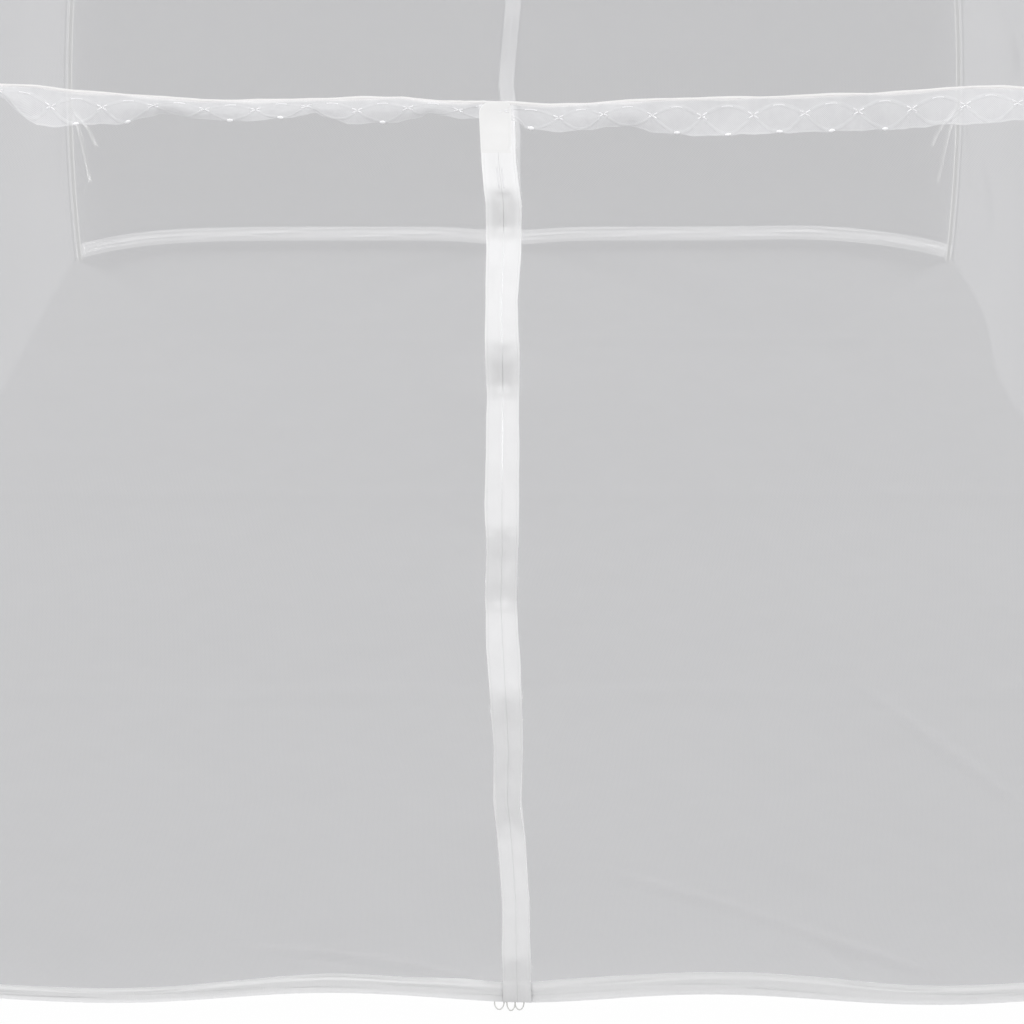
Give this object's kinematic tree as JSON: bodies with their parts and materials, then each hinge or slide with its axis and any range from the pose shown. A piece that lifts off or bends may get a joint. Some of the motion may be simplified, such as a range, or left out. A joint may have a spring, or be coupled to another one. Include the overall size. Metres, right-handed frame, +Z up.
{
  "type": "yurt mosquito net with its two-hoop frame",
  "caption": "White yurt mosquito net on two crossing hoops, with a zipped door wall at front and back, a lace valance and a floor net.",
  "frame": {"origin": "on the floor under the middle of the net", "axes": "+Z up, -Y out through the front door wall, +X along that wall to a person's right as they face it"},
  "size_m": [1.8081, 2.0131, 1.5007],
  "materials": {
    "net": "sheer fine white mesh",
    "white_trim": "woven white binding tape",
    "lace": "sheer tulle with a raised lattice",
    "zip_tape": "woven white zip tape",
    "zip_coil": "translucent nylon coil",
    "tie_tape": "narrow white tape",
    "hoop_rod": "smooth white glass-fibre rod"
  },
  "bodies": {
    "root": {"back_binding": "white_trim", "back_foot_band": "white_trim", "back_lace": "lace", "back_roof": "net", "back_wall_left": "net", "back_wall_right": "net", "back_zip_coil": "zip_coil", "back_zip_patch": "white_trim", "back_zip_tape_left": "zip_tape", "back_zip_tape_right": "zip_tape", "floor_net": "net", "front_binding": "white_trim", "front_foot_band": "white_trim", "front_lace": "lace", "front_roof": "net", "front_wall_left": "net", "front_wall_right": "net", "front_zip_coil": "zip_coil", "front_zip_patch": "white_trim", "front_zip_tape_left": "zip_tape", "front_zip_tape_right": "zip_tape", "hoop_lower": "hoop_rod", "hoop_upper": "hoop_rod", "left_binding": "white_trim", "left_lace": "lace", "left_roof": "net", "left_wall": "net", "right_binding": "white_trim", "right_lace": "lace", "right_roof": "net", "right_wall": "net", "tie_back_left_long_end": "tie_tape", "tie_back_left_loop": "tie_tape", "tie_back_left_short_end": "tie_tape", "tie_back_right_long_end": "tie_tape", "tie_back_right_loop": "tie_tape", "tie_back_right_short_end": "tie_tape", "tie_front_left_long_end": "tie_tape", "tie_front_left_loop": "tie_tape", "tie_front_left_short_end": "tie_tape", "tie_front_right_long_end": "tie_tape", "tie_front_right_loop": "tie_tape", "tie_front_right_short_end": "tie_tape"}
  },
  "joints": []
}
